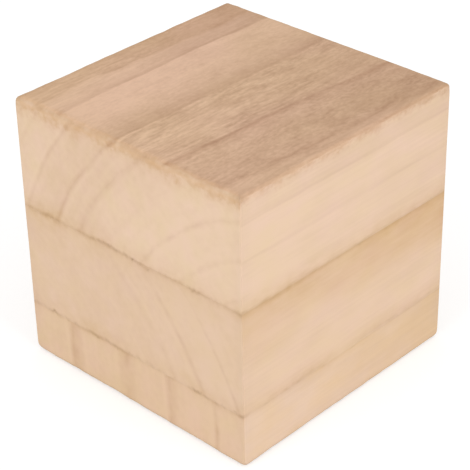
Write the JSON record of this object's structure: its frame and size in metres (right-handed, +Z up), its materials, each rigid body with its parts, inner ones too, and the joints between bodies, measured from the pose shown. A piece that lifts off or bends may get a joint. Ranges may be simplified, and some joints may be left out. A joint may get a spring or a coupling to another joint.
{
  "type": "wooden cube",
  "caption": "Solid cube of pale wood, glued up face to face from flat boards and planed flush, with softly sanded edges, that stands on a desk or bench as a block or riser.",
  "frame": {"origin": "centre of the underside, on the surface that the block stands on", "axes": "+X along the grain of all the boards, +Y across the grain, +Z up through the stack of boards"},
  "size_m": [0.1, 0.1, 0.1],
  "materials": {
    "top_board_wood": "matte",
    "middle_board_wood": "matte",
    "bottom_board_wood": "matte"
  },
  "bodies": {
    "root": {"top_board": "top_board_wood", "middle_board": "middle_board_wood", "bottom_board": "bottom_board_wood"}
  },
  "joints": []
}
